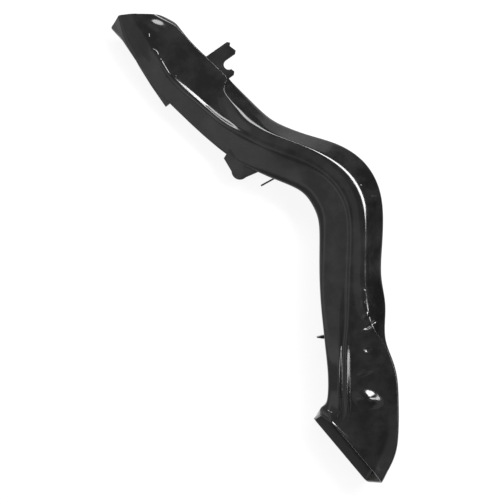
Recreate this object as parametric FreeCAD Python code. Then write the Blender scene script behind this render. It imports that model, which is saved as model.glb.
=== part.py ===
import FreeCAD, Part
import math
import os
from collections import namedtuple
from FreeCAD import Vector

# Air intake duct for a car: one blow-moulded piece that leads air from a flat inlet mouth behind the
# grille, through an S-shaped run, to a rectangular outlet mouth. It lies on its flat underside, with its
# length along Y and the outside of its main bend towards +X. Millimetres and degrees.

# Wall and mould
WALL = 2.2
SEAM_HEIGHT = 24.0

# Route of the middle line in plan, from the inlet mouth to the outlet mouth
ROUTE_HEADING = -46.0
INLET_RUN = 173.0
FIRST_BEND_RADIUS = 101.0
FIRST_BEND_ANGLE = 27.0
LINK_RUN = 29.0
MAIN_BEND_RADIUS = 86.0
MAIN_BEND_ANGLE = -67.0
OUTLET_RUN = 196.0
OUTLET_BEND_RADIUS = 127.0
OUTLET_BEND_ANGLE = -30.0

# Mouths: turn of each mouth's plane in plan, its lean, and the lip round it
INLET_TURN = -44.0
INLET_LEAN = 22.0
INLET_LIP = 10.0
INLET_LIP_TURN = -15.0
OUTLET_TURN = -24.0
OUTLET_LEAN = 20.0
OUTLET_LIP = 6.0
LIP_PROUD = 1.6
MOUTH_REACH = 8.0

# Edges of a section, as the distance each one starts from its corner
TUBE_BEVEL = 9.0
MOUTH_BEVEL = 5.0
SIDE_BEVEL = 8.0
CREST_ROUND = 9.0
RIDGE_BEVEL = 2.5
SHELF_EASE = 9.0
STEP_RUN = 6.0
VALLEY_SHARE = 0.2
AIRWAY_SHARE = 0.6
EDGE_LIMIT = 0.45

# Bracket: a flat tab on the outside of the inlet run, with a long arm, a U-shaped notch and a short finger
BRACKET_PLACE = 0.592
BRACKET_TURN = -9.0
BRACKET_THICKNESS = 3.2
BRACKET_SINK = 0.6
ARM_LENGTH = 27.5
ARM_WIDTH = 16.5
NOTCH_WIDTH = 11.8
NOTCH_FLOOR = 6.0
FINGER_LENGTH = 12.5
FINGER_WIDTH = 7.0
BARB = 2.8

# Lobe: a rounded tab on the inside, where the first bend starts
LOBE_PLACE = 1.47
LOBE_RADIUS = 10.3
LOBE_REACH = 7.0
LOBE_FOOT_UPSTREAM = 23.5
LOBE_SHOULDER = 5.0
LOBE_FOOT_DOWNSTREAM = 22.0
LOBE_ARC = (-55.0, 75.0)

# Seam flange along the inside of the inlet run, and the thickness of the seam tabs
FLANGE_PROUD = 3.0
FLANGE_HEIGHT = 20.0
TAB_THICKNESS = 3.0
TAB_ROOT = 8.0

# Fins on the inside wall
LONG_FIN_PLACE = 2.2
LONG_FIN_TURN = -42.0
LONG_FIN_LENGTH = 15.0
LONG_FIN_THICKNESS = 1.8
SHORT_FIN_PLACE = 4.63
SHORT_FIN_LENGTH = 7.0
SHORT_FIN_THICKNESS = 4.0
SHORT_FIN_TIP = 1.0
FIN_HEIGHT = 10.0

ROUTE = [
    ("run", INLET_RUN, 0.0),
    ("bend", FIRST_BEND_RADIUS, FIRST_BEND_ANGLE),
    ("run", LINK_RUN, 0.0),
    ("bend", MAIN_BEND_RADIUS, MAIN_BEND_ANGLE),
    ("run", OUTLET_RUN, 0.0),
    ("bend", OUTLET_BEND_RADIUS, OUTLET_BEND_ANGLE),
]

# A cross-section: half widths to the inside and the outside of the main bend, heights above the floor of the
# shelf along the inside, of the ridge beside the shelf, of the valley in the crown and of the outer crest,
# the step from the shelf up to the ridge, the distances of the ridge from the inner side and of the crest
# from the outer side, and the bevel at the floor.
Section = namedtuple("Section", "inner outer shelf step ridge valley crest crease edge bevel")

INLET = Section(31.0, 35.0, 31.0, 1.5, 34.0, 33.5, 32.0, 30.0, 12.0, TUBE_BEVEL)
BRACKET = Section(37.0, 31.0, 21.0, 13.0, 37.0, 32.0, 32.0, 28.0, 10.0, TUBE_BEVEL)
NECK = Section(29.0, 32.0, 33.0, 6.0, 51.0, 50.0, 52.0, 27.0, 18.0, TUBE_BEVEL)
TUBE = Section(34.5, 39.0, 40.0, 5.0, 54.0, 54.0, 55.0, 37.0, 22.0, TUBE_BEVEL)
BELLY = Section(36.5, 42.5, 40.0, 4.0, 49.0, 48.0, 50.0, 26.0, 23.0, TUBE_BEVEL)
OUTLET = Section(52.0, 48.0, 43.0, 0.5, 45.0, 45.0, 44.0, 28.0, 12.0, MOUTH_BEVEL)

# Stations along the route: segment number plus share of it, turn and lean of the plane, section
STATIONS = [
    (0.00, INLET_TURN, INLET_LEAN, INLET),
    (0.11, -28.0, 12.0, INLET._replace(inner=30.5, outer=33.5, shelf=28.0, step=3.0)),
    (0.25, -12.0, 0.0, INLET._replace(inner=33.0, outer=30.0, shelf=23.0, step=9.0, ridge=36.0)),
    (0.40, 0.0, 0.0, BRACKET._replace(outer=29.0)),
    (0.55, 0.0, 0.0, BRACKET),
    (0.70, 0.0, 0.0, BRACKET._replace(inner=36.0, outer=32.0, crest=35.0, edge=15.0)),
    (0.85, 0.0, 0.0, BRACKET._replace(
        inner=34.5, outer=33.0, ridge=40.0, valley=35.0, crest=42.0, edge=17.0)),
    (1.00, 0.0, 0.0, NECK._replace(
        inner=32.0, outer=33.0, shelf=24.0, step=12.0, ridge=43.0, valley=41.0, crest=46.0)),
    (1.40, 0.0, 0.0, NECK._replace(shelf=28.0, step=9.0, ridge=47.0, valley=46.0, crest=49.0)),
    (2.00, 0.0, 0.0, NECK),
    (3.00, 0.0, 0.0, NECK._replace(shelf=37.0, step=5.0, ridge=54.0, valley=54.0, crest=55.0)),
    (3.25, 0.0, 0.0, TUBE._replace(inner=29.0, outer=41.0, crease=32.0)),
    (3.50, 0.0, 0.0, TUBE._replace(inner=32.0, outer=48.5, edge=25.0)),
    (3.75, 0.0, 0.0, TUBE._replace(inner=33.0, outer=46.0, edge=24.0)),
    (4.00, 0.0, 0.0, TUBE),
    (4.15, 0.0, 0.0, TUBE._replace(inner=37.0, outer=34.5)),
    (4.30, 0.0, 0.0, TUBE._replace(inner=39.0, outer=30.5, crease=34.0)),
    (4.45, 0.0, 0.0, TUBE._replace(inner=39.5, outer=35.5, crease=30.0)),
    (4.57, 0.0, 0.0, TUBE._replace(inner=38.5, outer=32.5, crest=50.0, crease=28.0, edge=23.0)),
    (4.67, 0.0, 0.0, BELLY._replace(inner=38.0, outer=28.5, crest=44.0, crease=28.0)),
    (4.77, 0.0, 0.0, BELLY._replace(inner=37.0, outer=36.0)),
    (4.88, 0.0, 0.0, BELLY),
    (5.05, 0.0, 0.0, BELLY._replace(inner=38.5, shelf=42.0, ridge=48.0)),
    (5.40, -14.0, 7.0, OUTLET._replace(inner=48.0, outer=48.0, crest=48.0, edge=21.0)),
    (5.70, -17.0, 14.0, OUTLET._replace(inner=51.0, outer=51.5, crest=46.0, edge=16.0)),
    (6.00, OUTLET_TURN, OUTLET_LEAN, OUTLET),
]


# One segment of the route, walked for a share of its length
def walk(x, y, heading, segment, share):
    kind, size, turn = segment
    angle = math.radians(heading)
    if kind == "run":
        return x + size * share * math.cos(angle), y + size * share * math.sin(angle), heading
    radius = math.copysign(size, turn)
    after = angle + math.radians(turn) * share
    x += radius * (math.sin(after) - math.sin(angle))
    y -= radius * (math.cos(after) - math.cos(angle))
    return x, y, math.degrees(after)


# Plan point and heading at a place on the route
def on_route(place):
    x, y, heading = 0.0, 0.0, ROUTE_HEADING
    number = min(int(place), len(ROUTE) - 1)
    for segment in ROUTE[:number]:
        x, y, heading = walk(x, y, heading, segment, 1.0)
    return walk(x, y, heading, ROUTE[number], place - number)


# Half width of the duct at a place on the route, to its outside or its inside
def half_width(place, outside):
    for before, after in zip(STATIONS, STATIONS[1:]):
        if before[0] <= place <= after[0]:
            share = (place - before[0]) / (after[0] - before[0])
            ends = [s[3].outer if outside else s[3].inner for s in (before, after)]
            return ends[0] + share * (ends[1] - ends[0])


# Corners of a cross-section: distance towards the outside, height, reach of the edge there and its form
def corners(s):
    ridge_at = s.crease - s.inner
    crest_at = s.outer - s.edge
    valley_run = VALLEY_SHARE * (crest_at - ridge_at)
    return [
        (-s.inner + s.bevel, 0.0, 0.0, "sharp"),
        (s.outer - s.bevel, 0.0, 0.0, "sharp"),
        (s.outer, s.bevel, 0.0, "sharp"),
        (s.outer, SEAM_HEIGHT, SIDE_BEVEL, "bevel"),
        (crest_at, s.crest, CREST_ROUND, "round"),
        (crest_at - valley_run, s.valley, 0.0, "sharp"),
        (ridge_at + valley_run, s.valley, 0.0, "sharp"),
        (ridge_at, s.ridge, RIDGE_BEVEL, "bevel"),
        (ridge_at - STEP_RUN, s.ridge - s.step, 0.0, "sharp"),
        (-s.inner, s.shelf, SHELF_EASE, "eased"),
        (-s.inner, s.bevel, 0.0, "sharp"),
    ]


# Start and end of the edge at each corner, with the reach of every edge taken in part
def edges(points, share):
    ends = []
    for i, (u, z, reach, form) in enumerate(points):
        pair = []
        for near in (points[i - 1], points[(i + 1) % len(points)]):
            du, dz = near[0] - u, near[1] - z
            size = math.hypot(du, dz)
            shift = min(share * reach, EDGE_LIMIT * size) / size
            pair.append((u + du * shift, z + dz * shift))
        ends.append(pair)
    return ends


# Outline of a section as short rows of points, one for each side, bevel or rounding
def outline_pieces(section):
    points = corners(section)
    ends = edges(points, 1.0)
    pieces = []
    for i, (u, z, reach, form) in enumerate(points):
        start, end = ends[i]
        middle = ((start[0] + 2.0 * u + end[0]) / 4.0, (start[1] + 2.0 * z + end[1]) / 4.0)
        pieces += {
            "sharp": [],
            "bevel": [[start, end]],
            "eased": [[start, middle], [middle, end]],
            "round": [[start, (u, z), end]],
        }[form]
        pieces.append([end, ends[(i + 1) % len(points)][0]])
    return pieces


# Outline of a section with plain bevels, moved inwards by a wall or outwards by a negative one
def inset(section, wall):
    sharp = corners(section)
    points = []
    for corner, (start, end) in zip(sharp, edges(sharp, AIRWAY_SHARE)):
        points += [start] if corner[3] == "sharp" else [start, end]
    normals = []
    for p, q in zip(points, points[1:] + points[:1]):
        size = math.dist(p, q)
        normals.append(((p[1] - q[1]) / size, (q[0] - p[0]) / size))
    moved = []
    for i, (u, z) in enumerate(points):
        (a, b), (c, d) = normals[i - 1], normals[i]
        reach = wall / (1.0 + a * c + b * d)
        moved.append((u + reach * (a + c), z + reach * (b + d)))
    return moved


# Direction of the flow and of the outside at a place, after a turn in plan
def directions(place, turn):
    angle = math.radians(on_route(place)[2] + turn)
    along = Vector(math.cos(angle), math.sin(angle), 0.0)
    across = Vector(-math.sin(angle), math.cos(angle), 0.0)
    return along, across


# Points of a section put in space at a station, with its plane moved downstream
def placed(station, points, ahead=0.0):
    place, turn, lean, section = station
    x, y, heading = on_route(place)
    along, across = directions(place, turn)
    slope = math.tan(math.radians(lean))
    row = []
    for u, z in points:
        shift = ahead - slope * (z - SEAM_HEIGHT)
        row.append(Vector(x, y, z) + across * u + along * shift)
    return row


# Pieces round the outside of a station, put in space
def outside_row(station):
    return [placed(station, piece) for piece in outline_pieces(station[3])]


# Sides of the airway at a station, put in space
def airway_row(station, ahead=0.0):
    points = placed(station, inset(station[3], WALL), ahead)
    return [[p, q] for p, q in zip(points, points[1:] + points[:1])]


# Surface over one piece of every station: smooth along the duct, straight or rounded across it
def strip(rows):
    spans = len(rows) - 3
    across = len(rows[0]) - 1
    surface = Part.BSplineSurface()
    surface.buildFromPolesMultsKnots(
        rows,
        [4] + [1] * (spans - 1) + [4],
        [across + 1, across + 1],
        list(range(spans + 1)),
        [0.0, 1.0],
        False, False, 3, across)
    return surface


# Solid with a surface for each piece round its rows, a flat floor and a flat face at each end
def skin(rows):
    surfaces = [strip(list(pieces)) for pieces in zip(*rows)]
    faces = [surface.toShape() for surface in surfaces[1:]]
    floor = [surfaces[0].uIso(0), surfaces[0].uIso(len(rows) - 3), surfaces[0].vIso(0), surfaces[0].vIso(1)]
    faces.append(flat_face(floor))
    for end in (0, len(rows) - 3):
        faces.append(flat_face([surface.uIso(end) for surface in surfaces]))
    shell = Part.makeShell(faces)
    shell.sewShape()
    solid = Part.Solid(shell)
    if solid.Volume < 0.0:
        solid.reverse()
    return solid


# Flat face inside a closed line of curves
def flat_face(curves):
    return Part.Face(Part.Wire(Part.__sortEdges__([curve.toShape() for curve in curves])))


# Lip round a mouth: the mouth's outline, grown and drawn back into the duct
def lip(station, turn, length):
    along, across = directions(station[0], turn)
    outline = placed(station, inset(station[3], -LIP_PROUD))
    return Part.Face(Part.makePolygon(outline + outline[:1])).extrude(along * length)


# Flat plate with a plan outline, below a height
def plate(outline, top, thickness):
    low = [Vector(x, y, top - thickness) for x, y in outline + outline[:1]]
    return Part.Face(Part.makePolygon(low)).extrude(Vector(0.0, 0.0, thickness))


# Round disc about a plan point, below a height
def disc(spot, radius, top, thickness):
    return Part.makeCylinder(radius, thickness, Vector(spot[0], spot[1], top - thickness))


# Plan frame at the side of the duct, from (outwards, downstream) to plan coordinates
def beside(place, turn, outside):
    x, y, heading = on_route(place)
    along, across = directions(place, 0.0)
    if not outside:
        across = across * -1.0
    root = Vector(x, y, 0.0) + across * half_width(place, outside)
    spin = FreeCAD.Rotation(Vector(0.0, 0.0, 1.0), turn)
    out_axis = spin.multVec(across)
    down_axis = spin.multVec(along)

    def to_plan(out, down):
        spot = root + out_axis * out + down_axis * down
        return spot.x, spot.y
    return to_plan


# Bracket with its arm upstream of the notch and its finger downstream
def bracket():
    to_plan = beside(BRACKET_PLACE, BRACKET_TURN, True)
    top = BRACKET.valley - BRACKET_SINK
    start = -(ARM_WIDTH + NOTCH_WIDTH + FINGER_WIDTH) / 2.0
    arm_end = start + ARM_WIDTH
    finger = arm_end + NOTCH_WIDTH
    end = finger + FINGER_WIDTH
    half = NOTCH_WIDTH / 2.0
    outline = [
        (-TAB_ROOT, start),
        (ARM_LENGTH - BARB, start),
        (ARM_LENGTH, start + BARB),
        (ARM_LENGTH - BARB, start + 2.0 * BARB),
        (ARM_LENGTH, arm_end - BARB),
        (ARM_LENGTH - BARB, arm_end),
        (NOTCH_FLOOR + half, arm_end),
        (NOTCH_FLOOR + half, finger),
        (FINGER_LENGTH - BARB / 2.0, finger),
        (FINGER_LENGTH, end - BARB),
        (FINGER_LENGTH - BARB, end),
        (-TAB_ROOT, end),
    ]
    notch = disc(to_plan(NOTCH_FLOOR + half, arm_end + half), half, top, BRACKET_THICKNESS)
    return plate([to_plan(*p) for p in outline], top, BRACKET_THICKNESS).cut(notch)


# Lobe with a square shoulder upstream and a round end
def lobe():
    to_plan = beside(LOBE_PLACE, 0.0, False)
    outline = [(-TAB_ROOT, -LOBE_FOOT_UPSTREAM), (LOBE_SHOULDER, -LOBE_FOOT_UPSTREAM)]
    for degrees in LOBE_ARC:
        angle = math.radians(degrees)
        outline.append((LOBE_REACH + LOBE_RADIUS * math.cos(angle), LOBE_RADIUS * math.sin(angle)))
    outline.append((-TAB_ROOT, LOBE_FOOT_DOWNSTREAM))
    end = disc(to_plan(LOBE_REACH, 0.0), LOBE_RADIUS, SEAM_HEIGHT, TAB_THICKNESS)
    return plate([to_plan(*p) for p in outline], SEAM_HEIGHT, TAB_THICKNESS).fuse(end)


# Flange along the inner side, from the inlet lip to the bracket
def flange():
    edge = []
    root = []
    for place, turn, lean, section in STATIONS[1:5]:
        x, y, heading = on_route(place)
        along, across = directions(place, turn)
        for side, distance in ((edge, section.inner + FLANGE_PROUD), (root, section.inner - TAB_ROOT)):
            spot = Vector(x, y, 0.0) - across * distance
            side.append((spot.x, spot.y))
    return plate(edge + root[::-1], FLANGE_HEIGHT, TAB_THICKNESS)


# Upright fin on the inner side, tapered from its thickness to its tip
def fin(place, turn, length, thick, tip):
    to_plan = beside(place, turn, False)
    outline = [(-TAB_ROOT, -thick / 2.0), (0.0, -thick / 2.0), (length, -tip / 2.0)]
    outline += [(out, -down) for out, down in outline[::-1]]
    return plate([to_plan(*p) for p in outline], SEAM_HEIGHT, FIN_HEIGHT)


# The duct: skin, lips and tabs in one piece, hollowed by the airway
def build_duct():
    first, last = STATIONS[0], STATIONS[-1]
    outside = skin([outside_row(s) for s in STATIONS])
    rows = [airway_row(first, -MOUTH_REACH)]
    rows += [airway_row(s) for s in STATIONS]
    rows += [airway_row(last, MOUTH_REACH)]
    airway = skin(rows)
    extras = [
        lip(first, INLET_LIP_TURN, INLET_LIP),
        lip(last, OUTLET_TURN, -OUTLET_LIP),
        bracket(),
        lobe(),
        flange(),
        fin(LONG_FIN_PLACE, LONG_FIN_TURN, LONG_FIN_LENGTH, LONG_FIN_THICKNESS, LONG_FIN_THICKNESS),
        fin(SHORT_FIN_PLACE, 0.0, SHORT_FIN_LENGTH, SHORT_FIN_THICKNESS, SHORT_FIN_TIP),
    ]
    return outside.fuse(extras).cut(airway).removeSplitter()


# Bottom centre of a shape's box moved to the origin
def centred(shape):
    box = shape.BoundBox
    shape.translate(Vector(-box.Center.x, -box.Center.y, -box.ZMin))
    return shape


os.makedirs("parts", exist_ok=True)
centred(build_duct()).exportStep("parts/intake_duct.step")
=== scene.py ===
import math
from collections import namedtuple

import bmesh
import bpy
import numpy as np
from bpy.props import FloatProperty, FloatVectorProperty, PointerProperty
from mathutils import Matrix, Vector


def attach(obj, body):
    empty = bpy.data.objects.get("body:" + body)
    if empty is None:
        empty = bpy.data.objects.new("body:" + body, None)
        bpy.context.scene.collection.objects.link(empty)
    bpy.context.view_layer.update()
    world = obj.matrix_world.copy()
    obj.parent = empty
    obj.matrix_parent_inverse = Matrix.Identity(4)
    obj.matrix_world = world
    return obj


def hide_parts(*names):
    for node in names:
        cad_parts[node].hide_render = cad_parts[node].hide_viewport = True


bl_info = {
    "name": "Air intake duct",
    "version": (1, 0, 0),
    "blender": (4, 5, 0),
    "location": "View3D > Sidebar > Duct",
    "description": "Builds a blow-moulded air intake duct with its bracket, tabs, lips and studio stage",
    "category": "Object",
}

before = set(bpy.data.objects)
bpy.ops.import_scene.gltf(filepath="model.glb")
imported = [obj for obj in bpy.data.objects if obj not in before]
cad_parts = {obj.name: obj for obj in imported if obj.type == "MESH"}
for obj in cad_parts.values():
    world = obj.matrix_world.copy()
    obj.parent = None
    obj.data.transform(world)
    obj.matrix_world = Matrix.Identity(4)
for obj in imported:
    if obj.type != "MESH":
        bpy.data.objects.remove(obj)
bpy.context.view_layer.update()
NODE = "intake_duct"
BODY = "root"
INSIDE = "inside"
MM = 0.001

# Start of the duct's middle line in the frame and its heading in plan, millimetres and degrees
ROUTE_START = (-134.72, 263.98, 1.6)
ROUTE_HEADING = -46.0
ROUTE = [
    ("run", 173.0, 0.0),
    ("bend", 101.0, 27.0),
    ("run", 29.0, 0.0),
    ("bend", 86.0, -67.0),
    ("run", 196.0, 0.0),
    ("bend", 127.0, -30.0),
]
SEAM_HEIGHT = 24.0

# A cross-section in millimetres: half widths to the inside and the outside of the main bend, how far the inner
# wall leans in towards the floor, heights of the outer side and of the shelf's edge, width and height of the
# steep strip under that edge, step from the shelf up to the ridge and its run, heights of the ridge, the
# valley and the crest with the runs between them, distance of the ridge and the crest from the sides, width
# and bank of the groove at the foot of the step, the roundings of the crest, the ridge, the foot of the step
# and the outer side, the bevel of the floor's edges and how far the outer wall leans in towards the floor
Section = namedtuple(
    "Section",
    "inner outer tuck side shelf eave drop step run ridge fall valley rise crest crease edge groove bank "
    "crest_round ridge_round foot_round side_round bevel draft")

INLET = Section(
    27.0, 41.0, 4.0, 25.5, 30.5, 10.5, 17.0, 0.3, 5.0, 32.6, 5.0, 32.3, 14.0, 31.6, 29.0, 12.0, 6.0, 0.0,
    6.0, 8.0, 8.0, 4.0, 8.0, 4.0)
BRACKET = Section(
    37.0, 31.0, 4.0, 31.0, 21.0, 1.0, 1.0, 4.0, 3.0, 34.4, 6.0, 32.0, 5.0, 32.0, 22.0, 1.0, 4.0, 0.0,
    0.3, 3.0, 2.0, 0.5, 8.0, 4.0)
NECK = Section(
    29.0, 31.5, 4.0, 37.0, 33.0, 5.0, 4.5, 3.0, 3.5, 50.0, 4.0, 50.0, 10.0, 51.5, 29.5, 15.5, 5.0, 0.0,
    1.0, 3.0, 2.5, 4.0, 8.0, 4.0)
TUBE = Section(
    36.2, 36.7, 4.0, 39.0, 41.0, 6.0, 5.0, 3.0, 3.0, 51.3, 1.5, 51.8, 13.0, 55.0, 34.2, 23.2, 5.0, 0.0,
    7.5, 2.5, 2.0, 1.5, 8.0, 4.0)
BELLY = Section(
    38.5, 40.2, 4.0, 43.0, 42.5, 3.0, 2.5, 3.0, 3.5, 50.0, 5.0, 47.7, 31.0, 44.2, 19.3, 1.5, 5.0, 5.0,
    0.4, 1.4, 1.6, 0.6, 8.0, 4.0)
OUTLET = Section(
    58.2, 42.3, 4.5, 40.5, 43.5, 12.0, 10.5, 0.3, 5.0, 45.0, 5.0, 45.0, 12.0, 42.5, 30.0, 2.0, 5.0, 0.0,
    1.0, 4.0, 3.0, 1.0, 2.0, 0.8)

# Stations along the route: segment number plus share of it, turn and lean of the plane, section
STATIONS = [
    (-0.028, -44.0, 32.0, INLET),
    (0.06, -33.0, 19.0, INLET._replace(
        inner=28.8, outer=38.0, side=27.0, shelf=29.4, eave=6.0, drop=7.5, crease=27.0, edge=7.0, rise=16.0,
        crest=32.2, crest_round=6.0, side_round=2.0)),
    (0.11, -28.0, 12.0, INLET._replace(
        inner=30.0, outer=35.4, side=30.6, shelf=28.5, eave=4.0, drop=4.0, step=0.8, crease=25.0, edge=2.5,
        crest=32.2, rise=12.0, crest_round=0.3, side_round=0.8)),
    (0.25, -12.0, 0.0, INLET._replace(
        inner=33.0, outer=30.5, side=30.7, shelf=24.0, eave=1.0, drop=1.0, step=2.0, run=3.5, ridge=33.0,
        fall=5.0, valley=32.2, crest=32.0, crease=23.0, edge=1.2, crest_round=0.2, ridge_round=4.0,
        foot_round=2.5, side_round=0.5)),
    (0.40, 0.0, 0.0, BRACKET._replace(outer=29.0, ridge=33.2, step=3.0, crease=20.5, fall=6.5)),
    (0.55, 0.0, 0.0, BRACKET),
    (0.65, 0.0, 0.0, BRACKET._replace(inner=36.2, outer=31.5, run=2.5, fall=5.5, crease=23.2)),
    (0.69, 0.0, 0.0, BRACKET._replace(inner=36.0, outer=31.7, run=2.5, fall=5.5, crease=23.6)),
    (0.715, 0.0, 0.0, BRACKET._replace(
        inner=35.9, outer=31.9, run=2.5, ridge=34.5, fall=5.0, crest=33.4, crease=23.8, edge=14.0, rise=6.0,
        side=26.0, crest_round=0.6, side_round=2.0)),
    (0.76, 0.0, 0.0, BRACKET._replace(
        inner=35.4, outer=32.2, run=2.5, ridge=34.8, fall=5.0, valley=32.5, crest=35.8, crease=24.1, edge=17.0,
        rise=11.0, side=26.5, crest_round=0.6, side_round=3.0)),
    (0.85, 0.0, 0.0, BRACKET._replace(
        inner=34.5, outer=32.5, run=2.5, ridge=36.2, fall=4.5, valley=34.0, crest=39.5, crease=24.5, edge=19.0,
        rise=15.0, side=28.0, crest_round=1.5, side_round=4.0)),
    (0.94, 0.0, 0.0, NECK._replace(
        inner=33.0, outer=32.5, shelf=22.5, eave=1.5, drop=1.5, ridge=39.0, run=3.0, fall=5.5, valley=37.5,
        rise=13.0, crest=44.5, crease=26.0, edge=20.5, side=31.0, crest_round=11.0)),
    (1.10, 0.0, 0.0, NECK._replace(
        inner=31.5, outer=32.5, shelf=24.5, eave=2.0, drop=1.5, ridge=43.5, run=3.0, valley=43.5, rise=11.0,
        crest=48.5, crease=28.0, edge=19.0, side=34.0, crest_round=14.0)),
    (1.50, 0.0, 0.0, NECK._replace(
        outer=32.0, shelf=29.0, eave=3.0, drop=2.5, ridge=47.0, valley=47.5, rise=11.0, crest=49.5, crease=28.5,
        edge=17.0, side=36.0, crest_round=3.0)),
    (2.00, 0.0, 0.0, NECK),
    (3.00, 0.0, 0.0, NECK._replace(
        inner=30.0, outer=30.4, shelf=38.0, eave=6.0, drop=5.0, ridge=51.5, valley=52.0, crest=54.0, crease=30.0,
        edge=15.0, side=38.0, crest_round=0.6, side_round=2.5)),
    (3.25, 0.0, 0.0, TUBE._replace(inner=30.6, outer=38.6, crease=30.6, eave=8.0, drop=7.0, crest_round=4.0)),
    (3.50, 0.0, 0.0, TUBE._replace(inner=33.6, outer=45.5, crease=34.6, edge=27.5, eave=8.0, drop=7.0)),
    (3.75, 0.0, 0.0, TUBE._replace(inner=34.8, outer=43.6, crease=35.3, edge=26.1, eave=8.0, drop=7.0)),
    (4.00, 0.0, 0.0, TUBE._replace(crest_round=7.0)),
    (4.15, 0.0, 0.0, TUBE._replace(inner=38.8, outer=32.6, crease=33.8, edge=21.6, eave=5.0, crest_round=4.0)),
    (4.30, 0.0, 0.0, TUBE._replace(
        inner=40.8, outer=28.6, crease=32.3, edge=20.1, eave=4.0, drop=3.5, crest_round=7.0)),
    (4.45, 0.0, 0.0, TUBE._replace(
        inner=41.2, outer=33.8, crease=30.2, edge=25.8, eave=3.0, drop=2.5, groove=7.0, bank=1.2, shelf=41.5,
        crest_round=5.0)),
    (4.57, 0.0, 0.0, TUBE._replace(
        inner=40.2, outer=30.2, crest=51.0, ridge=50.3, valley=49.8, crease=27.2, edge=18.2, eave=3.0, drop=2.5,
        groove=6.5, bank=2.6, shelf=42.0, side=38.3, crest_round=0.8)),
    (4.67, 0.0, 0.0, BELLY._replace(
        inner=39.7, outer=27.6, crest=47.5, ridge=51.7, valley=50.6, rise=17.0, crease=22.8, side=46.4,
        groove=3.0, bank=0.9)),
    (4.77, 0.0, 0.0, BELLY._replace(
        inner=38.7, outer=35.2, crest=45.7, ridge=51.0, fall=6.0, valley=49.0, crease=20.7, rise=26.0,
        side=44.6, groove=4.6, bank=4.6)),
    (4.88, 0.0, 0.0, BELLY),
    (5.05, 0.0, 0.0, BELLY._replace(
        inner=41.5, outer=39.4, crest=43.0, ridge=49.0, valley=46.4, crease=21.0, side=41.8, bank=3.3)),
    (5.40, -14.0, 7.0, OUTLET._replace(
        inner=49.5, outer=43.6, rise=20.0, eave=8.0, drop=7.0, bevel=8.0, draft=4.0)),
    (5.70, -17.0, 14.0, OUTLET._replace(inner=56.5, outer=47.4, rise=18.0, bevel=5.0, draft=2.5)),
    (6.00, -24.0, 20.0, OUTLET),
]

# Small forms in the crown, in plan millimetres of the frame: middle, half length and half width, turn of the
# length from +X, height, and how much of the form is its slope. In order: patch beside the inlet's lip, bulge
# above the outlet, pocket below the waist with the ridge and the facet beside it, dimple, ledge, slanting
# facet, and three bumps on the crest
PRESSES = [
    (-110.0, 258.5, 15.0, 8.0, -23.0, 1.4, 1.0),
    (125.6, -162.5, 20.0, 13.0, -25.0, 4.4, 1.0),
    (131.0, -80.5, 12.0, 3.2, 36.0, -1.7, 1.0),
    (127.0, -86.0, 9.0, 2.6, 30.0, 1.0, 1.0),
    (122.8, -86.3, 3.4, 2.0, 20.0, 1.2, 0.9),
    (127.5, -108.5, 5.0, 4.2, 0.0, -1.9, 0.9),
    (121.0, -120.5, 11.5, 2.4, -30.0, -0.6, 0.9),
    (123.5, -134.0, 10.5, 4.0, 24.0, 1.5, 1.0),
    (120.6, -40.5, 3.2, 3.0, 0.0, 0.7, 1.0),
    (121.4, -55.0, 7.0, 2.6, 88.0, 0.8, 1.0),
    (125.0, -70.0, 5.5, 4.0, 60.0, 1.4, 0.8),
]

# Small raised marks from the mould: paths in plan millimetres of the frame
MARKS = [
    [(-119.9, 250.0), (-119.3, 246.6)],
    [(-118.0, 231.5), (-115.1, 232.6), (-112.3, 231.3), (-110.2, 229.0), (-109.2, 226.1)],
    [(-106.3, 220.9), (-105.7, 220.1)],
    [(-104.9, 218.8), (-101.4, 212.5), (-98.6, 208.0), (-96.9, 205.1)],
    [(-100.1, 201.9), (-99.3, 201.5)],
    [(-96.1, 204.2), (-95.3, 203.8)],
    [(-89.3, 201.9), (-88.5, 201.5)],
    [(130.7, 63.8), (134.0, 63.9), (137.5, 63.5)],
    [(119.2, 76.6), (119.8, 75.6)],
    [(83.3, -177.9), (87.8, -180.2)],
    [(92.3, -180.2), (94.5, -185.8)],
]

# Roundings of the shelf's edge and the floor, share of a side that one rounding may take, and the valley's
# rounding as a share of its rise
EDGE_ROUND = 2.5
FLOOR_ROUND = 5.0
ROUND_LIMIT = 0.46
VALLEY_ROUND = 0.45

# Points on each rounding and on each side of a section, distance between rows outside and in the airway, and
# the stretch of Y where small forms are pressed in and rows lie closer
ROUND_STEPS = 7
SIDE_STEPS = (7, 2, 3, 9, 23, 6, 3, 2, 3, 7, 2, 4, 2)
ROW_SPACING = 1.5
AIRWAY_SPACING = 8.0
PRESSED = (-175.0, -25.0)
PRESSED_PACE = 1.8
CROWN_LOW = 30.0
CROWN_FADE = 4.0

# Lips: height where the inlet's lip fades out, length of that fade and of its end, flare of the outlet's lip,
# wall at the rims, and reach of the dust inside the outlet with the length of its fade, where the dust colour
# gives way to the darker plastic as painted shade deeper in, and the rows that carry that fade
LIP_TOP = 16.0
LIP_FADE = 8.0
LIP_END = 1.6
OUTLET_FLARE = 1.3
RIM_WALL = 1.1
DUST_AND_SHADE_DEPTH = 13.0
DUST_AND_SHADE_FADE = 3.0
DUST_AND_SHADE_ROWS = 14

# Tabs: depth of their roots in the wall, tilts of the flange and the marks in degrees, slope and raise of the
# rounded tab, and the flange's edge as place on the route, distance from the middle line and height
TAB_ROOT = 8.0
FLANGE_TILT = 26.0
FLANGE_ROOT = 5.0
MARK_TILT = -19.0
MARK_SINK = 0.2
LOBE_FALL = 0.42
LOBE_RAISE = 5.0
FLANGE_EDGE = [(0.10, 26.9, 21.0), (0.21, 32.2, 20.5), (0.36, 37.8, 19.6), (0.53, 42.6, 18.8)]

# Stage in metres: half side of the floor, height of its walls, and the width that the photo's frame spans at
# the height of the seam
FLOOR_REACH = 15.0
FLOOR_WALL = 1.9
FRAME_WIDTH = 0.575
FRAME_HEIGHT = 0.024


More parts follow.
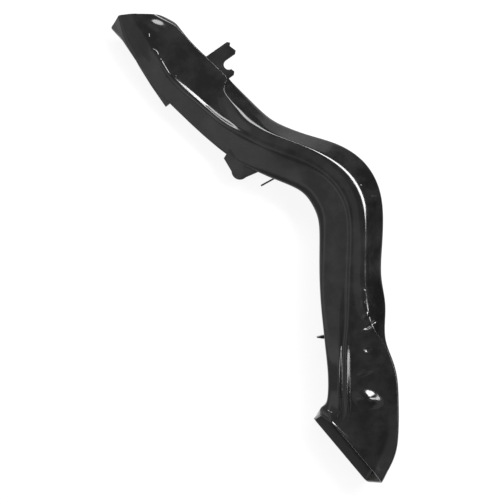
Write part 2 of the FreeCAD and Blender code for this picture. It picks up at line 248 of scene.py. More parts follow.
class DuctSizes(bpy.types.PropertyGroup):
    """Sizes of the duct's wall, lips and tabs"""

    wall: FloatProperty(
        name="Wall", description="Thickness of the blown wall", default=2.2 * MM, unit="LENGTH")
    lip_height: FloatProperty(
        name="Lip height", description="How far the mouths' lips stand proud", default=1.0 * MM, unit="LENGTH")
    inlet_lip: FloatProperty(
        name="Inlet lip", description="Length of the lip at the inlet", default=13.0 * MM, unit="LENGTH")
    outlet_lip: FloatProperty(
        name="Outlet lip", description="Length of the lip at the outlet", default=9.0 * MM, unit="LENGTH")
    bracket_thickness: FloatProperty(
        name="Bracket thickness", description="Thickness of the bracket", default=3.2 * MM, unit="LENGTH")
    arm_length: FloatProperty(
        name="Arm length", description="Length of the bracket's arm", default=27.5 * MM, unit="LENGTH")
    notch_width: FloatProperty(
        name="Notch width", description="Width of the bracket's U-shaped notch", default=11.8 * MM,
        unit="LENGTH")
    lobe_radius: FloatProperty(
        name="Lobe radius", description="Radius of the rounded tab", default=9.9 * MM, unit="LENGTH")
    tab_thickness: FloatProperty(
        name="Tab thickness", description="Thickness of the tabs on the seam", default=3.0 * MM, unit="LENGTH")
    flange_proud: FloatProperty(
        name="Flange", description="How far the seam flange stands out of the inlet run", default=3.0 * MM,
        unit="LENGTH")
    mark_width: FloatProperty(
        name="Mark width", description="Width of the small raised marks", default=1.7 * MM, unit="LENGTH")


class DuctFinish(bpy.types.PropertyGroup):
    """Finish of the black plastic"""

    colour: FloatVectorProperty(
        name="Colour", description="Colour of the plastic", subtype="COLOR", size=3, min=0.0, max=1.0,
        default=(0.0042, 0.0042, 0.0045))
    worn_colour: FloatVectorProperty(
        name="Worn colour", description="Colour where the plastic is dulled by handling", subtype="COLOR",
        size=3, min=0.0, max=1.0, default=(0.0165, 0.0165, 0.017))
    # Dust colour inside the outlet's mouth; where it fades out deeper in, the darker plastic is painted shade
    dust_and_shade_colour: FloatVectorProperty(
        name="Dust", description="Colour of the film of dust inside the duct", subtype="COLOR", size=3, min=0.0,
        max=1.0, default=(0.05, 0.049, 0.047))
    roughness: FloatProperty(
        name="Roughness", description="Roughness of the clean plastic", default=0.11, min=0.0, max=1.0)
    grain: FloatProperty(
        name="Grain", description="Depth of the moulded grain", default=0.008 * MM, unit="LENGTH")
    waviness: FloatProperty(
        name="Waviness", description="Depth of the slow waves of a blown wall", default=0.25 * MM, unit="LENGTH")


class StageLook(bpy.types.PropertyGroup):
    """Floor, lights and background"""

    floor_colour: FloatVectorProperty(
        name="Floor", description="Colour of the floor", subtype="COLOR", size=3, min=0.0, max=1.0,
        default=(0.9, 0.9, 0.9))
    key_power: FloatProperty(
        name="Key light", description="Power of the strip light", default=40.0, unit="POWER")
    fill_power: FloatProperty(
        name="Fill light", description="Power of the broad fill light", default=3.4, unit="POWER")
    side_power: FloatProperty(
        name="Side light", description="Power of the strip light on the right", default=5.0, unit="POWER")
    back_power: FloatProperty(
        name="Back light", description="Power of the light behind the inlet", default=14.0, unit="POWER")
    front_power: FloatProperty(
        name="Front light", description="Power of the light at the outlet's end", default=0.55, unit="POWER")
    sky: FloatProperty(
        name="Sky", description="Brightness of the surroundings", default=0.25, min=0.0)
    camera_height: FloatProperty(
        name="Camera height", description="Height of the camera above the floor", default=1.1, unit="LENGTH")


class Wire:
    """A socket of a node tree; sums on it add Math nodes"""

    def __init__(self, tree, socket):
        self.tree = tree
        self.socket = socket

    def node(self, kind, settings=None, links=None, out=0):
        """A new node of this tree with its settings, its sockets' values or links, and one output"""
        made = self.tree.nodes.new(kind)
        for name, value in (settings or {}).items():
            if name == "stops":
                ramp = made.color_ramp.elements
                for element, (place, shade) in zip(ramp, value):
                    element.position = place
                    element.color = (shade, shade, shade, 1.0)
            else:
                setattr(made, name, value)
        for name, value in (links or {}).items():
            if isinstance(value, Wire):
                self.tree.links.new(value.socket, made.inputs[name])
            else:
                made.inputs[name].default_value = value
        return Wire(self.tree, made.outputs[out] if made.outputs else None)

    def math(self, operation, first, second):
        return self.node("ShaderNodeMath", {"operation": operation}, {0: first, 1: second})

    def __add__(self, other):
        return self.math("ADD", self, other)

    def __sub__(self, other):
        return self.math("SUBTRACT", self, other)

    def __mul__(self, other):
        return self.math("MULTIPLY", self, other)

    def __rsub__(self, other):
        return self.math("SUBTRACT", other, self)

    __radd__ = __add__
    __rmul__ = __mul__


def plain_material(name):
    """An empty material and a starting wire in its tree"""
    material = bpy.data.materials.new(name)
    material.use_nodes = True
    material.node_tree.nodes.clear()
    return material, Wire(material.node_tree, None)


def duct_plastic(finish):
    """Black blown plastic: slow waves, fine grain, dulled patches, small scuffs, and dust inside the outlet that
    fades out deeper in as painted shade
    """
    material, tree = plain_material("black_blown_plastic")
    place = tree.node("ShaderNodeTexCoord", out=3)

    def noise(scale, detail, roughness=0.5, vector=place):
        return tree.node(
            "ShaderNodeTexNoise", {},
            {"Vector": vector, "Scale": scale, "Detail": detail, "Roughness": roughness})

    stretched = tree.node(
        "ShaderNodeMapping", {}, {"Vector": place, "Rotation": (0.0, 0.0, 0.9), "Scale": (1.0, 14.0, 3.0)})
    smudges = tree.node(
        "ShaderNodeValToRGB", {"stops": [(0.42, 0.0), (0.72, 1.0)]}, {"Fac": noise(38.0, 6.0, 0.62)})
    scuffs = tree.node(
        "ShaderNodeValToRGB", {"stops": [(0.66, 0.0), (0.74, 1.0)]},
        {"Fac": noise(60.0, 4.0, 0.55, stretched)})
    grain = noise(1900.0, 2.0)
    waves = noise(24.0, 2.0, 0.4)
    dulled = smudges * 0.6 + scuffs * 0.4
    colour = tree.node(
        "ShaderNodeMix", {"data_type": "RGBA"},
        {0: dulled, 6: (*finish.colour, 1.0), 7: (*finish.worn_colour, 1.0)}, out=2)
    # Inside the outlet the dust colour lies near the mouth and fades out deeper in: dust near the rim, painted
    # shade where it fades
    inside = tree.node("ShaderNodeAttribute", {"attribute_name": INSIDE}, out="Fac")
    colour = tree.node(
        "ShaderNodeMix", {"data_type": "RGBA"}, {0: inside, 6: colour, 7: (*finish.dust_and_shade_colour, 1.0)}, out=2)
    rough = dulled * 0.10 + grain * 0.05 + inside * 0.35 + (finish.roughness - 0.03)
    slow = tree.node(
        "ShaderNodeBump", {}, {"Strength": 1.0, "Distance": finish.waviness, "Height": waves})
    fine = tree.node(
        "ShaderNodeBump", {}, {"Strength": 1.0, "Distance": finish.grain, "Height": grain, "Normal": slow})
    surface = tree.node(
        "ShaderNodeBsdfPrincipled", {},
        {"Base Color": colour, "Roughness": rough, "Normal": fine, "IOR": 1.5})
    tree.node("ShaderNodeOutputMaterial", {}, {"Surface": surface})
    return material


def plastic(context):
    """The duct's plastic, made once"""
    return bpy.data.materials.get("black_blown_plastic") or duct_plastic(context.scene.duct_finish)


def walk(spot, heading, segment, share):
    """The plan point and heading after a share of one segment of the route"""
    kind, size, turn = segment
    angle = math.radians(heading)
    x, y = spot
    if kind == "run":
        return (x + size * share * math.cos(angle), y + size * share * math.sin(angle)), heading
    radius = math.copysign(size, turn)
    after = angle + math.radians(turn) * share
    x += radius * (math.sin(after) - math.sin(angle))
    y -= radius * (math.cos(after) - math.cos(angle))
    return (x, y), math.degrees(after)


def on_route(place):
    """Plan point and heading at a place on the route"""
    spot, heading = ROUTE_START[:2], ROUTE_HEADING
    number = min(int(place), len(ROUTE) - 1)
    for segment in ROUTE[:number]:
        spot, heading = walk(spot, heading, segment, 1.0)
    return walk(spot, heading, ROUTE[number], place - number)


def directions(place, turn):
    """Directions of the flow and of the outside at a place, after a turn in plan"""
    angle = math.radians(on_route(place)[1] + turn)
    return (
        np.array((math.cos(angle), math.sin(angle), 0.0)),
        np.array((-math.sin(angle), math.cos(angle), 0.0)))


def corners(s):
    """Corners of a cross-section: distance towards the outside, height, rounding"""
    ridge_at = s.crease - s.inner
    crest_at = s.outer - s.edge
    foot_at, foot = ridge_at - s.run, s.ridge - s.step
    eave_at = s.eave - s.inner
    bank = foot + s.groove * (s.shelf - foot) / (foot_at - eave_at) + s.bank
    return [
        (-s.inner + s.tuck + s.bevel, 0.0, FLOOR_ROUND),
        (s.outer - s.draft - s.bevel, 0.0, FLOOR_ROUND),
        (s.outer - s.draft, s.bevel, FLOOR_ROUND),
        (s.outer, s.side, s.side_round),
        (crest_at, s.crest, s.crest_round),
        (crest_at - s.rise, s.valley, VALLEY_ROUND * s.rise),
        (ridge_at + s.fall, s.valley, s.ridge_round),
        (ridge_at, s.ridge, s.ridge_round),
        (foot_at, foot, s.foot_round),
        (foot_at - s.groove, bank, s.foot_round),
        (eave_at, s.shelf, EDGE_ROUND),
        (-s.inner, s.shelf - s.drop, EDGE_ROUND),
        (-s.inner + s.tuck, s.bevel, FLOOR_ROUND),
    ]


def inset(points, wall):
    """The same corners with every side moved inwards by the wall"""
    flat = np.array([(u, z) for u, z, rounding in points])
    sides = np.roll(flat, -1, axis=0) - flat
    sides /= np.linalg.norm(sides, axis=1)[:, None]
    normals = np.stack((-sides[:, 1], sides[:, 0]), axis=1)
    before = np.roll(normals, 1, axis=0)
    reach = wall / (1.0 + np.sum(normals * before, axis=1))
    flat = flat + reach[:, None] * (normals + before)
    return [(u, z, max(rounding - wall, 1.0)) for (u, z), (_, _, rounding) in zip(flat, points)]


def rounded(points):
    """Start, corner and end of the rounding at each corner"""
    groups = []
    for i, (u, z, rounding) in enumerate(points):
        corner = np.array((u, z))
        ends = []
        for near in (points[i - 1], points[(i + 1) % len(points)]):
            way = np.array(near[:2]) - corner
            size = np.linalg.norm(way)
            ends.append(corner + way * min(rounding, ROUND_LIMIT * size) / size)
        groups.append((ends[0], corner, ends[1]))
    return np.array(groups)


def station_net(wall):
    """Points that shape the skin at every station, in millimetres in the frame"""
    net = []
    for place, turn, lean, section in STATIONS:
        spot, heading = on_route(place)
        along, across = directions(place, turn)
        points = corners(section)
        ends = place in (STATIONS[0][0], STATIONS[-1][0])
        groups = rounded(inset(points, min(wall, RIM_WALL) if ends else wall) if wall else points)
        u, z = groups[..., 0:1], groups[..., 1:2]
        shift = -math.tan(math.radians(lean)) * (z - SEAM_HEIGHT)
        base = np.array((*spot, ROUTE_START[2]))
        net.append(base + u * across + shift * along + z * np.array((0.0, 0.0, 1.0)))
    return np.array(net)


def spline_weights(count, where):
    """Weights of a clamped cubic spline's points at each parameter"""
    spans = count - 3
    knots = np.concatenate(([0.0] * 3, np.arange(spans + 1.0), [spans] * 3))
    where = np.clip(where, 0.0, spans - 1e-9)[:, None]
    weights = ((knots[:-1] <= where) & (where < knots[1:])).astype(float)
    for degree in range(1, 4):
        left = knots[degree:-1] - knots[:-degree - 1]
        right = knots[degree + 1:] - knots[1:-degree]
        rise = np.where(left > 0, (where - knots[:-degree - 1]) / np.where(left > 0, left, 1.0), 0.0)
        fall = np.where(right > 0, (knots[degree + 1:] - where) / np.where(right > 0, right, 1.0), 0.0)
        weights = rise * weights[:, :-1] + fall * weights[:, 1:]
    return weights


def even_rows(net, spacing):
    """Parameters along the duct that space its rows evenly, closer where the crown is pressed; their lengths"""
    trial = np.linspace(0.0, len(net) - 3, 1200)
    middle = np.tensordot(spline_weights(len(net), trial), net[:, :, 1].mean(axis=1), 1)
    steps = np.linalg.norm(np.diff(middle, axis=0), axis=1)
    pressed = (middle[1:, 1] < PRESSED[1]) & (middle[1:, 1] > PRESSED[0])
    length = np.concatenate(([0.0], np.cumsum(steps)))
    paced = np.concatenate(([0.0], np.cumsum(np.where(pressed, PRESSED_PACE, 1.0) * steps)))
    where = np.interp(np.linspace(0.0, paced[-1], int(paced[-1] / spacing)), paced, trial)
    return where, np.interp(where, trial, length)


def skin_rows(net, where):
    """Rows of points round the skin: roundings at the corners, straight sides between them"""
    shaped = np.einsum("ns,scpx->ncpx", spline_weights(len(net), where), net)
    start, corner, end = shaped[:, :, 0], shaped[:, :, 1], shaped[:, :, 2]
    columns = []
    for i, steps in enumerate(SIDE_STEPS):
        for q in np.linspace(0.0, 1.0, ROUND_STEPS):
            columns.append((1 - q) ** 2 * start[:, i] + 2 * q * (1 - q) * corner[:, i] + q * q * end[:, i])
        after = start[:, (i + 1) % len(SIDE_STEPS)]
        for q in np.linspace(0.0, 1.0, steps + 2)[1:-1]:
            columns.append((1 - q) * end[:, i] + q * after)
    return np.stack(columns, axis=1)


def outward(rows):
    """Unit normals of a grid of rows"""
    around = np.roll(rows, -1, axis=1) - np.roll(rows, 1, axis=1)
    along = np.gradient(rows, axis=0)
    normals = np.cross(around, along)
    return normals / np.linalg.norm(normals, axis=2)[..., None]


def grid_faces(rows, columns, first):
    """Quads of a grid that is closed round its columns"""
    faces = []
    for r in range(rows - 1):
        for c in range(columns):
            d = (c + 1) % columns
            low, high = first + r * columns, first + (r + 1) * columns
            faces.append((low + c, low + d, high + d, high + c))
    return faces


def smooth_step(x):
    """A soft step from 0 to 1"""
    x = np.clip(x, 0.0, 1.0)
    return x * x * (3.0 - 2.0 * x)


def pressed_in(rows):
    """The rows with the small forms raised or sunk in the crown"""
    crown = smooth_step((rows[..., 2] - CROWN_LOW) / CROWN_FADE)
    rows = rows.copy()
    for x, y, length, width, turn, height, slope in PRESSES:
        angle = math.radians(turn)
        across, up = rows[..., 0] - x, rows[..., 1] - y
        far = np.hypot(
            (across * math.cos(angle) + up * math.sin(angle)) / length,
            (up * math.cos(angle) - across * math.sin(angle)) / width)
        rows[..., 2] += height * crown * smooth_step((1.0 - far) / slope)
    return rows


def finished(name, mesh, context, sharp=40.0):
    """An object for a mesh in metres, shaded, dressed and tied to the frame"""
    mesh.validate()
    mesh.polygons.foreach_set("use_smooth", [True] * len(mesh.polygons))
    mesh.set_sharp_from_angle(angle=math.radians(sharp))
    mesh.materials.clear()
    mesh.materials.append(plastic(context))
    piece = bpy.data.objects.new(name, mesh)
    context.collection.objects.link(piece)
    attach(piece, BODY)
    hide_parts(NODE)
    return piece


class DUCT_OT_body(bpy.types.Operator):
    """Makes the hollow run of the duct with its two lips"""

    bl_idname = "duct.make_body"
    bl_label = "Duct body"

    def execute(self, context):
        sizes = context.scene.duct_sizes
        wall, lip = sizes.wall / MM, sizes.lip_height / MM
        net = station_net(0.0)
        where, done = even_rows(net, ROW_SPACING)
        outside = pressed_in(skin_rows(net, where))
        low = 1.0 - smooth_step((outside[:, :, 2] - LIP_TOP) / LIP_FADE)
        raised = (1.0 - smooth_step((done - sizes.inlet_lip / MM) / LIP_END))[:, None] * low
        raised += OUTLET_FLARE * smooth_step((done - done[-1]) * MM / sizes.outlet_lip + 1.0)[:, None]
        outside = outside + outward(outside) * (lip * raised)[..., None]
        inner_net = station_net(wall)
        inner_where, done = even_rows(inner_net, AIRWAY_SPACING)
        # The last rows of the airway lie close so that they carry the fade of the dust into painted shade deeper
        # in
        ending = np.linspace(done[-1] - DUST_AND_SHADE_DEPTH - 2.0 * DUST_AND_SHADE_FADE, done[-1], DUST_AND_SHADE_ROWS)
        inner_where = np.concatenate((inner_where[done < ending[0]], np.interp(ending, done, inner_where)))
        airway = skin_rows(inner_net, inner_where)[::-1]
        depth = np.zeros(airway.shape[:2])
        depth[1:] = np.cumsum(np.linalg.norm(np.diff(airway, axis=0), axis=2), axis=0)
        columns = outside.shape[1]
        count = len(outside) + len(airway)
        points = np.concatenate((outside, airway)).reshape(-1, 3) * MM
        faces = grid_faces(count, columns, 0)
        last = (count - 1) * columns
        for c in range(columns):
            d = (c + 1) % columns
            faces.append((last + c, last + d, d, c))
        mesh = bpy.data.meshes.new("duct_body")
        mesh.from_pydata(points.tolist(), [], faces)
        # Dust colour near the outlet's mouth, fading out deeper inside, where the darker plastic stands as
        # painted shade
        inside = np.zeros((count, columns), np.float32)
        inside[len(outside):] = 1.0 - smooth_step((depth - DUST_AND_SHADE_DEPTH) / DUST_AND_SHADE_FADE + 1.0)
        mesh.attributes.new(INSIDE, "FLOAT", "POINT").data.foreach_set("value", inside.ravel())
        finished("duct_body", mesh, context)
        return {"FINISHED"}


def half_width(place, outside):
    """Half width of the duct at a place on the route"""
    places = [station[0] for station in STATIONS]
    widths = [station[3].outer if outside else station[3].inner for station in STATIONS]
    return float(np.interp(place, places, widths))


def beside(place, turn, outside):
    """A plan frame at the side of the duct, from outwards and downstream to millimetres in the frame"""
    spot, heading = on_route(place)
    along, across = directions(place, 0.0)
    if not outside:
        across = -across
    root = np.array((*spot, 0.0)) + across * half_width(place, outside)
    angle = math.radians(turn)
    spin = np.array((
        (math.cos(angle), -math.sin(angle), 0.0), (math.sin(angle), math.cos(angle), 0.0), (0.0, 0.0, 1.0)))
    out_axis, down_axis = spin @ across, spin @ along
    return lambda out, down: (root + out_axis * out + down_axis * down)[:2]


def arc(out, down, radius, start, stop, steps=16):
    """Points of an arc in such a frame, its angles measured from the outward direction"""
    angles = np.radians(np.linspace(start, stop, steps))
    return [(out + radius * math.cos(a), down + radius * math.sin(a)) for a in angles]


def plate_mesh(name, outline, top, thickness, rounding, fall=(0.0, 0.0)):
    """A flat plate with softened edges, in millimetres; the fall is its slope per millimetre of X and Y"""
    form = bmesh.new()
    low = [form.verts.new((x * MM, y * MM, (top - thickness) * MM)) for x, y in outline]
    face = form.faces.new(low)
    raised = bmesh.ops.extrude_face_region(form, geom=[face])
    verts = [v for v in raised["geom"] if isinstance(v, bmesh.types.BMVert)]
    bmesh.ops.translate(form, verts=verts, vec=(0.0, 0.0, thickness * MM))
    bmesh.ops.recalc_face_normals(form, faces=form.faces)
    edges = [e for e in form.edges if len(e.link_faces) == 2 and e.calc_face_angle() > 1.0]
    bmesh.ops.bevel(
        form, geom=edges, offset=rounding * MM, segments=3, profile=0.5, affect="EDGES", clamp_overlap=True)
    x, y = outline[0]
    for vert in form.verts:
        vert.co.z -= (vert.co.x - x * MM) * fall[0] + (vert.co.y - y * MM) * fall[1]
    mesh = bpy.data.meshes.new(name)
    form.to_mesh(mesh)
    form.free()
    return mesh


class DUCT_OT_bracket(bpy.types.Operator):
    """Makes the bracket with its arm, its U-shaped notch and its finger"""

    bl_idname = "duct.make_bracket"
    bl_label = "Fixing bracket"

    def execute(self, context):
        sizes = context.scene.duct_sizes
        arm, notch = sizes.arm_length / MM, sizes.notch_width / MM
        arm_width, finger_length, finger_width, floor, barb = 16.5, 12.5, 7.0, 6.0, 2.8
        to_plan = beside(0.592, -9.0, True)
        start = -(arm_width + notch + finger_width) / 2.0
        arm_end = start + arm_width
        finger = arm_end + notch
        end = finger + finger_width
        half = notch / 2.0
        outline = [
            (-TAB_ROOT, start),
            (arm - barb, start),
            (arm, start + barb),
            (arm - barb, start + 2.0 * barb),
            (arm, arm_end - barb),
            (arm - barb, arm_end),
        ]
        outline += arc(floor + half, arm_end + half, half, 270.0, 90.0)
        outline += [
            (finger_length - barb / 2.0, finger),
            (finger_length, end - barb),
            (finger_length - barb, end),
            (-TAB_ROOT, end),
        ]
        top = BRACKET.valley - 0.05 + ROUTE_START[2]
        mesh = plate_mesh(
            "fixing_bracket", [to_plan(*p) for p in outline], top, sizes.bracket_thickness / MM, 0.5)
        finished("fixing_bracket", mesh, context, 30.0)
        return {"FINISHED"}


class DUCT_OT_tabs(bpy.types.Operator):
    """Makes the rounded tab and the two fins on the inner side"""

    bl_idname = "duct.make_tabs"
    bl_label = "Seam tabs and fins"

    def execute(self, context):
        sizes = context.scene.duct_sizes
        seam = SEAM_HEIGHT + ROUTE_START[2]
        thickness = sizes.tab_thickness / MM
        to_plan = beside(1.49, 0.0, False)
        outline = [(-TAB_ROOT, -23.5), (5.0, -23.5)]
        outline += arc(7.0, 0.0, sizes.lobe_radius / MM, -55.0, 75.0)
        outline.append((-TAB_ROOT, 22.0))
        slope = (to_plan(1.0, 0.0) - to_plan(0.0, 0.0)) * LOBE_FALL
        mesh = plate_mesh("lobe_tab", [to_plan(*p) for p in outline], seam + LOBE_RAISE, thickness, 0.5, slope)
        finished("lobe_tab", mesh, context, 30.0)
        for name, place, turn, length, thick, tip in (
                ("long_fin", 2.2, -42.0, 15.0, 1.8, 1.8), ("short_fin", 4.63, 0.0, 7.0, 4.0, 1.0)):
            to_plan = beside(place, turn, False)
            outline = [(-TAB_ROOT, -thick / 2.0), (0.0, -thick / 2.0), (length, -tip / 2.0)]
            outline += [(out, -down) for out, down in outline[::-1]]
            mesh = plate_mesh(name, [to_plan(*p) for p in outline], seam, 10.0, 0.3)
            finished(name, mesh, context, 30.0)
        return {"FINISHED"}


def bar_tree():
    """Geometry nodes that lay a rounded bar along a path"""
    tree = bpy.data.node_groups.new("bar_along_path", "GeometryNodeTree")
    face = tree.interface
    face.new_socket("Geometry", in_out="INPUT", socket_type="NodeSocketGeometry")
    for name in ("Width", "Height", "Rounding", "Spacing", "Tilt"):
        face.new_socket(name, in_out="INPUT", socket_type="NodeSocketFloat")
    face.new_socket("Material", in_out="INPUT", socket_type="NodeSocketMaterial")
    face.new_socket("Geometry", in_out="OUTPUT", socket_type="NodeSocketGeometry")
    new = tree.nodes.new
    link = tree.links.new
    given, result = new("NodeGroupInput"), new("NodeGroupOutput")
    path = new("GeometryNodeMeshToCurve")
    even = new("GeometryNodeResampleCurve")
    even.mode = "LENGTH"
    upright = new("GeometryNodeSetCurveNormal")
    upright.mode = "Z_UP"
    lean = new("GeometryNodeSetCurveTilt")
    profile = new("GeometryNodeCurvePrimitiveQuadrilateral")
    soft = new("GeometryNodeFilletCurve")
    soft.mode = "POLY"
    soft.inputs["Count"].default_value = 3
    bar = new("GeometryNodeCurveToMesh")
    bar.inputs["Fill Caps"].default_value = True
    real = new("GeometryNodeRealizeInstances")
    dress = new("GeometryNodeSetMaterial")
    link(given.outputs["Geometry"], path.inputs["Mesh"])
    link(path.outputs["Curve"], even.inputs["Curve"])
    link(given.outputs["Spacing"], even.inputs["Length"])
    link(even.outputs["Curve"], upright.inputs["Curve"])
    link(given.outputs["Width"], profile.inputs["Width"])
    link(given.outputs["Height"], profile.inputs["Height"])
    link(profile.outputs["Curve"], soft.inputs["Curve"])
    link(given.outputs["Rounding"], soft.inputs["Radius"])
    link(upright.outputs["Curve"], lean.inputs["Curve"])
    link(given.outputs["Tilt"], lean.inputs["Tilt"])
    link(lean.outputs["Curve"], bar.inputs["Curve"])
    link(soft.outputs["Curve"], bar.inputs["Profile Curve"])
    link(bar.outputs["Mesh"], real.inputs["Geometry"])
    link(real.outputs["Geometry"], dress.inputs["Geometry"])
    link(given.outputs["Material"], dress.inputs["Material"])
    link(dress.outputs["Geometry"], result.inputs["Geometry"])
    return tree


def bar_along(name, path, values, context):
    """A mesh of the bar that the geometry nodes lay along a path of points in millimetres"""
    line = bpy.data.meshes.new(name + "_path")
    edges = [(i, i + 1) for i in range(len(path) - 1)]
    line.from_pydata([tuple(c * MM for c in p) for p in path], edges, [])
    carrier = bpy.data.objects.new(name + "_path", line)
    context.collection.objects.link(carrier)
    modifier = carrier.modifiers.new("bar", "NODES")
    tree = bpy.data.node_groups.get("bar_along_path") or bar_tree()
    modifier.node_group = tree
    values = dict(values, Material=plastic(context))
    for item in tree.interface.items_tree:
        if item.in_out == "INPUT" and item.name in values:
            modifier[item.identifier] = values[item.name]
    made = carrier.evaluated_get(context.evaluated_depsgraph_get())
    mesh = bpy.data.meshes.new_from_object(made)
    mesh.name = name
    bpy.data.objects.remove(carrier)
    form = bmesh.new()
    form.from_mesh(mesh)
    bmesh.ops.remove_doubles(form, verts=form.verts, dist=1e-6)
    bmesh.ops.recalc_face_normals(form, faces=form.faces)
    form.to_mesh(mesh)
    form.free()
    return mesh


class DUCT_OT_flange(bpy.types.Operator):
    """Lays the seam flange along the inner side of the inlet run"""

    bl_idname = "duct.make_flange"
    bl_label = "Seam flange"

    def execute(self, context):
        sizes = context.scene.duct_sizes
        width, thick = sizes.flange_proud / MM + FLANGE_ROOT, sizes.tab_thickness / MM
        path = []
        for place, edge_at, shelf in FLANGE_EDGE:
            spot, heading = on_route(place)
            along, across = directions(place, 0.0)
            height = ROUTE_START[2] + shelf - thick / 2.0
            path.append(tuple(np.array((*spot, height)) - across * (edge_at - width / 2.0)))
        values = {
            "Width": width * MM, "Height": sizes.tab_thickness, "Rounding": 0.6 * MM,
            "Spacing": 4.0 * MM, "Tilt": math.radians(FLANGE_TILT)}
        finished("seam_flange", bar_along("seam_flange", path, values, context), context, 50.0)
        return {"FINISHED"}


class DUCT_OT_marks(bpy.types.Operator):
    """Lays the small raised marks from the mould on the crown"""

    bl_idname = "duct.make_marks"
    bl_label = "Mould marks"

    def execute(self, context):
        width = context.scene.duct_sizes.mark_width
        net = station_net(0.0)
        skin = pressed_in(skin_rows(net, even_rows(net, ROW_SPACING)[0])).reshape(-1, 3)
        crown = skin[skin[:, 2] > SEAM_HEIGHT]
        values = {
            "Width": width, "Height": 0.8 * width, "Rounding": 0.25 * width, "Spacing": 0.7 * MM,
            "Tilt": math.radians(MARK_TILT)}
        form = bmesh.new()
        for number, mark in enumerate(MARKS):
            path = []
            for spot in mark:
                near = np.argmin(np.hypot(*(crown[:, :2] - spot).T))
                path.append((*spot, crown[near, 2] - MARK_SINK))
            form.from_mesh(bar_along("mark_%d" % number, path, values, context))
        mesh = bpy.data.meshes.new("mould_marks")
        form.to_mesh(mesh)
        form.free()
        finished("mould_marks", mesh, context, 60.0)
        return {"FINISHED"}


def area_light(name, context, spot, target, size, power):
    """A rectangular lamp that faces a point"""
    data = bpy.data.lights.new(name, "AREA")
    data.shape = "RECTANGLE"
    data.size, data.size_y = size
    data.energy = power
    lamp = bpy.data.objects.new(name, data)
    lamp.location = spot
    lamp.rotation_euler = (Vector(target) - Vector(spot)).to_track_quat("-Z", "Y").to_euler()
    context.collection.objects.link(lamp)


def floor_material(look):
    """White floor: bright to the camera and in reflections, with the object's shadow kept"""
    material, tree = plain_material("white_floor")
    camera, glossy, through = [
        tree.node("ShaderNodeLightPath", out=name)
        for name in ("Is Camera Ray", "Is Glossy Ray", "Is Transmission Ray")]
    white = tree.node("ShaderNodeBsdfDiffuse", {}, {"Color": (*look.floor_colour, 1.0)})
    glow = tree.node("ShaderNodeEmission", {}, {"Color": (1.0, 1.0, 1.0, 1.0), "Strength": 1.0})
    seen = (camera + glossy + through) * 0.9
    mixed = tree.node("ShaderNodeMixShader", {}, {0: seen, 1: white, 2: glow})
    tree.node("ShaderNodeOutputMaterial", {}, {"Surface": mixed})
    return material


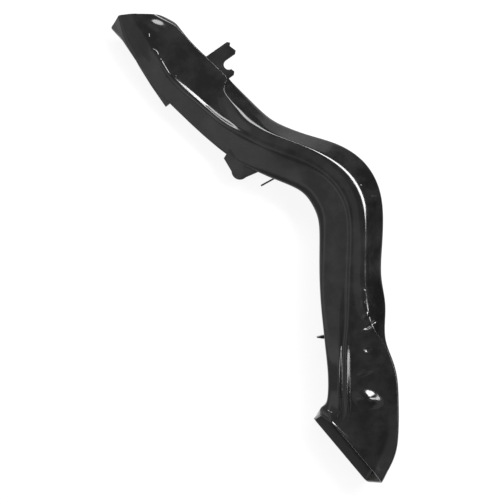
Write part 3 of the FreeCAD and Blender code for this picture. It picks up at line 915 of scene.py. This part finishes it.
class DUCT_OT_stage(bpy.types.Operator):
    """Makes the floor, the lights, the background and the camera above the duct"""

    bl_idname = "duct.make_stage"
    bl_label = "Stage"

    def execute(self, context):
        look = context.scene.duct_stage
        scene = context.scene
        scene.view_settings.view_transform = "Standard"
        mesh = bpy.data.meshes.new("floor")
        plan = [(x * FLOOR_REACH, y * FLOOR_REACH) for x, y in ((-1, -1), (1, -1), (1, 1), (-1, 1))]
        mesh.from_pydata(
            [(x, y, z) for z in (0.0, FLOOR_WALL) for x, y in plan], [],
            [(0, 1, 2, 3)] + [(i, i + 4, (i + 1) % 4 + 4, (i + 1) % 4) for i in range(4)])
        mesh.materials.append(floor_material(look))
        floor = bpy.data.objects.new("floor", mesh)
        context.collection.objects.link(floor)

        world = bpy.data.worlds.new("surroundings")
        world.use_nodes = True
        world.node_tree.nodes.clear()
        scene.world = world
        tree = Wire(world.node_tree, None)
        way = tree.node("ShaderNodeSeparateXYZ", {}, {0: tree.node("ShaderNodeTexCoord", out="Generated")})
        strength = look.sky - way * (0.95 * look.sky)
        sky = tree.node("ShaderNodeBackground", {}, {"Color": (1.0, 1.0, 1.0, 1.0), "Strength": strength})
        tree.node("ShaderNodeOutputWorld", {}, {"Surface": sky})

        middle = (0.0, 0.0, 0.0)
        area_light("strip_right", context, (0.79, 0.66, 1.02), middle, (1.2, 0.4), look.key_power)
        area_light("strip_side", context, (1.12, -0.28, 1.05), middle, (0.3, 0.35), look.side_power)
        area_light("spot_back", context, (0.02, 1.22, 1.15), middle, (0.8, 0.45), look.back_power)
        area_light("fill_left", context, (-1.1, -0.5, 1.45), middle, (2.4, 2.0), look.fill_power)
        area_light("fill_core", context, (-1.5, -0.7, 1.15), middle, (2.0, 1.1), 0.6 * look.fill_power)
        area_light("fill_front", context, (0.8, -0.75, 1.15), middle, (0.8, 0.6), look.front_power)

        data = bpy.data.cameras.new("camera")
        data.sensor_width = 36.0
        data.lens = data.sensor_width * (look.camera_height - FRAME_HEIGHT) / FRAME_WIDTH
        camera = bpy.data.objects.new("camera", data)
        camera.location = (-0.0046, 0.00345, look.camera_height)
        context.collection.objects.link(camera)
        scene.camera = camera
        return {"FINISHED"}


class DUCT_PT_panel(bpy.types.Panel):
    """Lists the duct's pieces and its stage"""

    bl_idname = "DUCT_PT_panel"
    bl_label = "Air intake duct"
    bl_space_type = "VIEW_3D"
    bl_region_type = "UI"
    bl_category = "Duct"

    def draw(self, context):
        for operator in OPERATORS:
            self.layout.operator(operator.bl_idname)
        for group in (context.scene.duct_sizes, context.scene.duct_finish, context.scene.duct_stage):
            for name in group.__annotations__:
                self.layout.prop(group, name)


OPERATORS = (DUCT_OT_body, DUCT_OT_bracket, DUCT_OT_tabs, DUCT_OT_flange, DUCT_OT_marks, DUCT_OT_stage)
CLASSES = (DuctSizes, DuctFinish, StageLook, *OPERATORS, DUCT_PT_panel)


def register():
    for cls in CLASSES:
        bpy.utils.register_class(cls)
    bpy.types.Scene.duct_sizes = PointerProperty(type=DuctSizes)
    bpy.types.Scene.duct_finish = PointerProperty(type=DuctFinish)
    bpy.types.Scene.duct_stage = PointerProperty(type=StageLook)


def unregister():
    del bpy.types.Scene.duct_stage, bpy.types.Scene.duct_finish, bpy.types.Scene.duct_sizes
    for cls in reversed(CLASSES):
        bpy.utils.unregister_class(cls)


def main():
    register()
    bpy.ops.duct.make_body()
    bpy.ops.duct.make_bracket()
    bpy.ops.duct.make_tabs()
    bpy.ops.duct.make_flange()
    bpy.ops.duct.make_marks()
    bpy.ops.duct.make_stage()
    bpy.context.view_layer.update()


if __name__ == "__main__":
    main()
